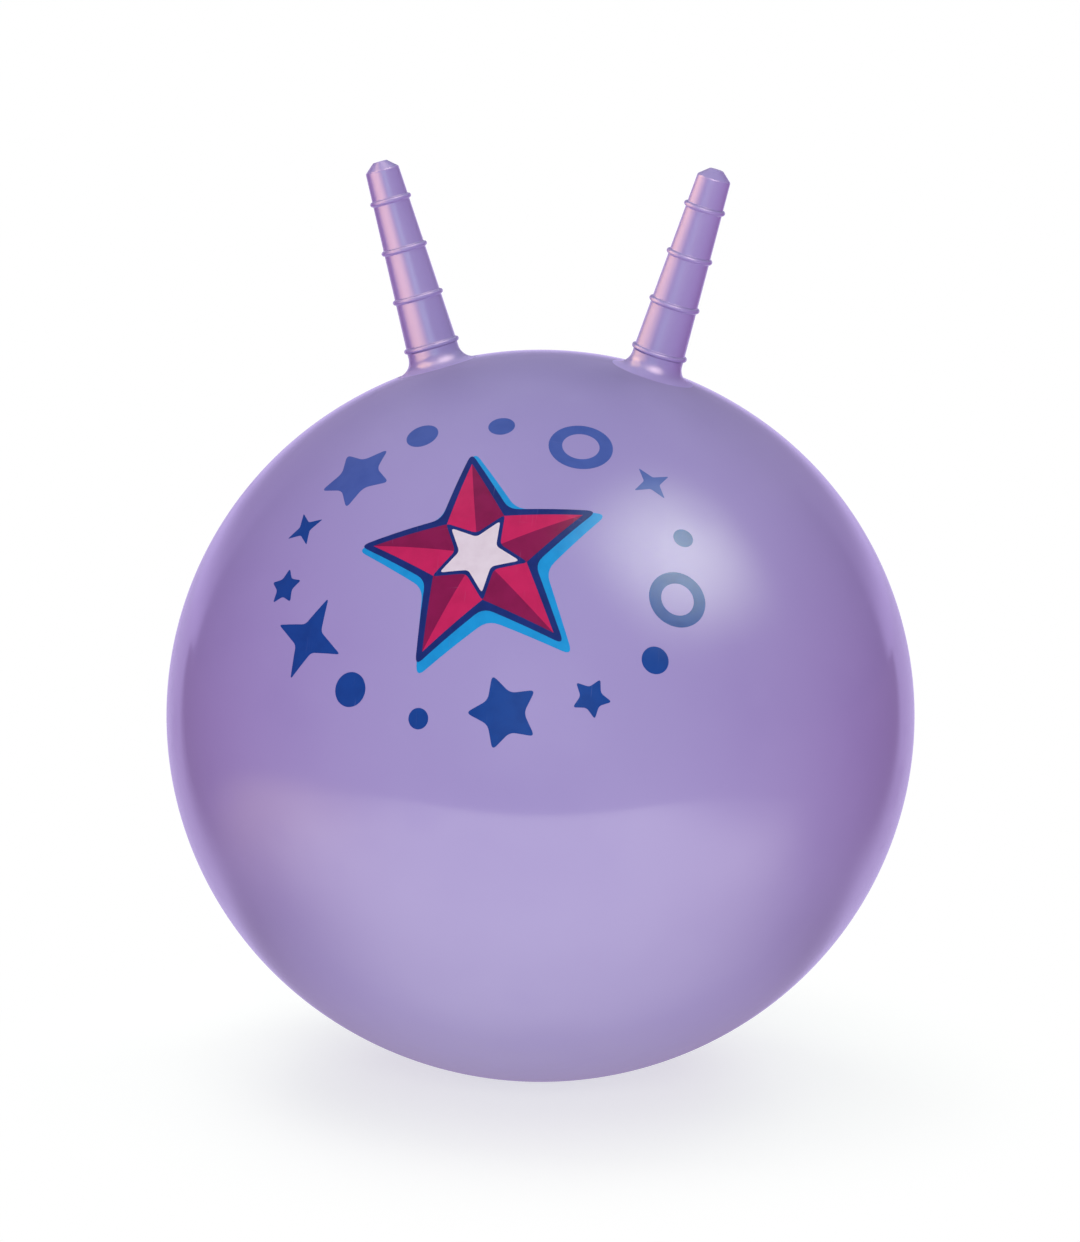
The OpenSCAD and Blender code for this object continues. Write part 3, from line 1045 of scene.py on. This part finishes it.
# %% Cut outlines into small triangles
def fine_triangles(outlines):
    """The outlines as one flat mesh of small triangles."""
    bm = bmesh.new()
    for outline in outlines:
        bm.faces.new([bm.verts.new((x, y, 0)) for x, y in outline])
    bmesh.ops.remove_doubles(bm, verts=bm.verts[:], dist=1e-4)
    bmesh.ops.triangulate(bm, faces=bm.faces[:])
    while long := [e for e in bm.edges if e.calc_length() > LONGEST_EDGE]:
        bmesh.ops.subdivide_edges(bm, edges=long, cuts=1)
        bmesh.ops.triangulate(bm, faces=[f for f in bm.faces if len(f.verts) > 3])
    for face in bm.faces:
        if face.normal.z < 0:
            face.normal_flip()
    bm.verts.index_update()
    flat = np.array([v.co.xy for v in bm.verts])
    faces = [[v.index for v in f.verts] for f in bm.faces]
    edges = [(l.vert.index, l.link_loop_next.vert.index)
             for f in bm.faces for l in f.loops if len(l.edge.link_faces) == 1]
    bm.free()
    return flat, faces, edges


# %% Lay one ink on the ball
def lay_ink(name, outlines, material, layer):
    flat, faces, rim = fine_triangles(outlines)
    surface, normals = on_ball(wrapped(flat))
    top = surface + normals * (INK_FIRST + INK_STEP * layer) * MM
    under = surface - normals * INK_UNDER * MM
    count = len(flat)
    loops = faces + [[v + count for v in reversed(f)] for f in faces]
    loops += [[b, a, a + count, b + count] for a, b in rim]
    mesh = bpy.data.meshes.new(name)
    mesh.from_pydata(np.vstack((top, under)).tolist(), [], loops)
    mesh.shade_smooth()
    spread = [normals[v] for f in faces for v in f]
    spread += [-normals[v] for f in faces for v in reversed(f)]
    spread += [(0, 0, 0)] * (4 * len(rim))
    mesh.normals_split_custom_set([tuple(n) for n in spread])
    ink = put_in_scene(name, mesh)
    remember_place(ink)
    ink.data.materials.append(material)
    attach(ink, "ball")
    print(name, "has", len(outlines), "outlines and", len(faces), "triangles")


# %% Outlines to print
def star(x, y, big, small, turn=0.0, points=5):
    """A star's corners, the first of them a point that is turned this many degrees."""
    corners = []
    for i in range(2 * points):
        a = math.radians(90 + turn + 180 * i / points)
        r = small if i % 2 else big
        corners.append((x + r * math.cos(a), y + r * math.sin(a)))
    return corners


def softened(corners, cut, steps=5):
    """The outline with each corner rounded by a curve that starts this far from it."""
    corners = [Vector(c) for c in corners]
    out = []
    for i, corner in enumerate(corners):
        ends = [corners[i - 1], corners[(i + 1) % len(corners)]]
        a, b = [corner + (end - corner).normalized() * min(cut, (end - corner).length / 2.1)
                for end in ends]
        for step in range(steps + 1):
            t = step / steps
            out.append(tuple(a * (1 - t) ** 2 + corner * 2 * t * (1 - t) + b * t**2))
    return out


# %% Round outlines
def disc(x, y, radius, tall=1.0, corners=48):
    turns = [2 * math.pi * i / corners for i in range(corners)]
    return [(x + radius * math.cos(a), y + radius * tall * math.sin(a)) for a in turns]


def hoop(x, y, radius, width, corners=48):
    """A flat ring, as the small quads that it is made of."""
    outer, inner = disc(x, y, radius, 1, corners), disc(x, y, radius - width, 1, corners)
    return [[outer[i], outer[(i + 1) % corners], inner[(i + 1) % corners], inner[i]]
            for i in range(corners)]


# %% [markdown]
# ### Ink
# Screen-printed ink copies the mesh of the screen very faintly and lies a little uneven. It sits
# under the same gloss as the vinyl, so it shares its waviness and its marks.


# %% The lay of screen-printed ink
INK_CLOUD_SIZE, INK_CLOUD_LEVELS = 9 * MM, (0.35, 0.75)


def screen_ink_group():
    tree, takes, gives = new_group("screen_ink", {"Mesh Size": 0.5 * MM}, ["Height", "Tone"])
    place = takes["Place"]
    turns = work_out(tree, "DIVIDE", 2 * math.pi, takes["Mesh Size"])
    spot = add(tree, "ShaderNodeSeparateXYZ", {0: place}).outputs
    waves = [work_out(tree, "SINE", times(tree, spot[axis], turns)) for axis in "XZ"]
    tree.links.new(work_out(tree, "ADD", *waves), gives["Height"])
    cloud = noise(tree, place, INK_CLOUD_SIZE, 4.0)
    tree.links.new(fade(tree, cloud, *INK_CLOUD_LEVELS), gives["Tone"])
    return tree


SCREEN_INK = screen_ink_group()
print("groups:", [g.name for g in bpy.data.node_groups])

# %% Mix the inks
INK_MESH, INK_RELIEF, INK_WORN = 0.5 * MM, 0.0004 * MM, 0.25


def ink_material(name, code, deep_code):
    material, tree, place, marks, rough, height = start_glossy(name)
    lay = grouped(tree, SCREEN_INK, {"Place": place, "Mesh Size": INK_MESH})
    colour = mix_colour(tree, lay["Tone"], paint(code), paint(deep_code))
    worn = times(tree, marks["Scratch"], INK_WORN)
    colour = mix_colour(tree, worn, colour, VINYL)
    relief = times(tree, lay["Height"], INK_RELIEF)
    finish_glossy(tree, marks, colour, rough, work_out(tree, "ADD", height, relief))
    return material


INKS = {name: ink_material(f"{name}_ink", *codes) for name, codes in {
    "sky": ("12a2dc", "0f98d2"), "navy": ("17327a", "142c6e"), "crimson": ("8f124f", "850f49"),
    "pink": ("d0205e", "c61d59"), "cream": ("ece6e4", "e4dcdb"),
    "deep_blue": ("114a98", "0f448f"), "light_blue": ("4a66ae", "4460a8"),
}.items()}
print("inks:", sorted(INKS))

# %% Print the big star
STAR_X, STAR_Y, STAR_TURN = -6, -4, 11
STAR_BIG, STAR_SMALL = 64, 28
CORE_BIG, CORE_SMALL, CORE_TURN = 24, 11, STAR_TURN + 36


def lay_star(name, ink, big, small, turn, cut, layer, shift=(0, 0)):
    """One star with softened corners, in one ink, on the big star's middle."""
    corners = star(STAR_X + shift[0], STAR_Y + shift[1], big, small, turn)
    lay_ink(name, [softened(corners, cut)], INKS[ink], layer)


lay_star("sky_print", "sky", STAR_BIG + 13, STAR_SMALL + 9, STAR_TURN, 7, 0, shift=(2.5, -3))
lay_star("navy_print", "navy", STAR_BIG + 9, STAR_SMALL + 5, STAR_TURN, 6, 1)
tips = star(STAR_X, STAR_Y, STAR_BIG, STAR_SMALL, STAR_TURN)
facets = [[(STAR_X, STAR_Y), tips[i - 1], tips[i]] for i in range(len(tips))]
lay_ink("crimson_print", facets[0::2], INKS["crimson"], 2)
lay_ink("pink_print", facets[1::2], INKS["pink"], 2)
lay_star("navy_core_print", "navy", CORE_BIG + 5, CORE_SMALL + 2.5, CORE_TURN, 3, 3)
lay_star("cream_core_print", "cream", CORE_BIG, CORE_SMALL, CORE_TURN, 2.5, 4)

# %% Shapes that fly round the star
BIG_MOTIFS = (("hoop", 19), ("star", 25), ("spark", 26), ("star", 22), ("hoop", 17))
SMALL_MOTIFS = (("dot", 8), ("spark", 13), ("dot", 10), ("star", 12), ("dot", 6))


def motif(kind, x, y, size, turn):
    if kind == "star":
        return [softened(star(x, y, size, size * 0.52, turn), size * 0.16)]
    if kind == "spark":
        return [softened(star(x, y, size, size * 0.36, turn, points=4), size * 0.10)]
    if kind == "hoop":
        return hoop(x, y, size, size * 0.42)
    return [disc(x, y, size)]


# %% Print what flies round the star, by angle, distance, shapes and turns
ORBIT_X, ORBIT_Y, LIGHT_ABOVE = 121, 96, 30
GAP_FIRST, GAP_STEP = 54, 72
FLYERS = (
    (0, 0.96, BIG_MOTIFS, 0, 31),
    (25, 1.0, SMALL_MOTIFS, 0, 17),
    (48, 1.02, SMALL_MOTIFS[2:] + SMALL_MOTIFS[:2], 40, 23),
)


def fly(angle, share, kind, size, turn):
    """Puts a motif on the orbit, with the ink that suits its height."""
    x = STAR_X + ORBIT_X * share * math.cos(math.radians(angle))
    y = STAR_Y + ORBIT_Y * share * math.sin(math.radians(angle))
    orbit["light_blue" if y > LIGHT_ABOVE else "deep_blue"] += motif(kind, x, y, size, turn)


orbit = {"deep_blue": [], "light_blue": []}
for i in range(5):
    for after, share, motifs, turn, spin in FLYERS:
        fly(STAR_TURN + GAP_FIRST + GAP_STEP * i + after, share, *motifs[i], turn + spin * i)
for ink, outlines in orbit.items():
    lay_ink(f"{ink}_print", outlines, INKS[ink], 0)
